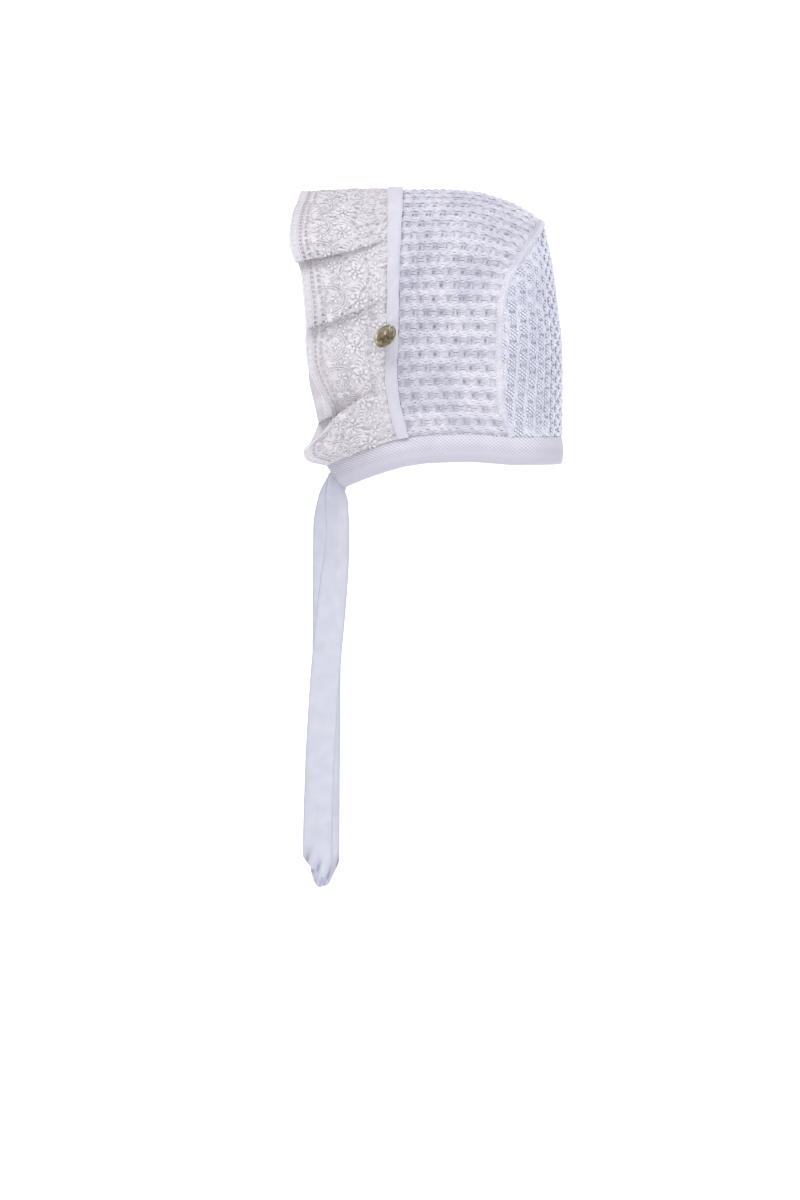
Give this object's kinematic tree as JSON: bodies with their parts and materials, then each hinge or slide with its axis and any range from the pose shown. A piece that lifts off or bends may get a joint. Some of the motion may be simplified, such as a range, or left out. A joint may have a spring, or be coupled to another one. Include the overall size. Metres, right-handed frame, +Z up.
{
  "type": "baby bonnet",
  "caption": "Knitted baby bonnet with a lace ruffle round the face, a flat tape, a fine-knit neck band, hanging ties and a small metal button.",
  "frame": {"origin": "where the top of the head meets the inside of the crown, on the bonnet's middle plane", "axes": "-X forwards, out of the face opening; -Y the wearer's left; +Z up"},
  "size_m": [0.1736, 0.149, 0.4473],
  "materials": {
    "knit": "matte cotton yarn, cool white",
    "fine_knit": "matte fine-gauge cotton knit, cool white",
    "cotton_tape": "smooth woven cotton, cool white",
    "lace": "matte cotton lace, warm white",
    "aged_brass": "aged, dull, with bright rubbed rims"
  },
  "bodies": {
    "root": {"crown_panel": "knit", "back_panel": "knit", "neck_band": "fine_knit", "face_tape": "cotton_tape", "lace_ruffle": "lace", "tie_left": "cotton_tape", "tie_right": "cotton_tape", "button": "aged_brass", "button_thread": "cotton_tape"}
  },
  "joints": []
}
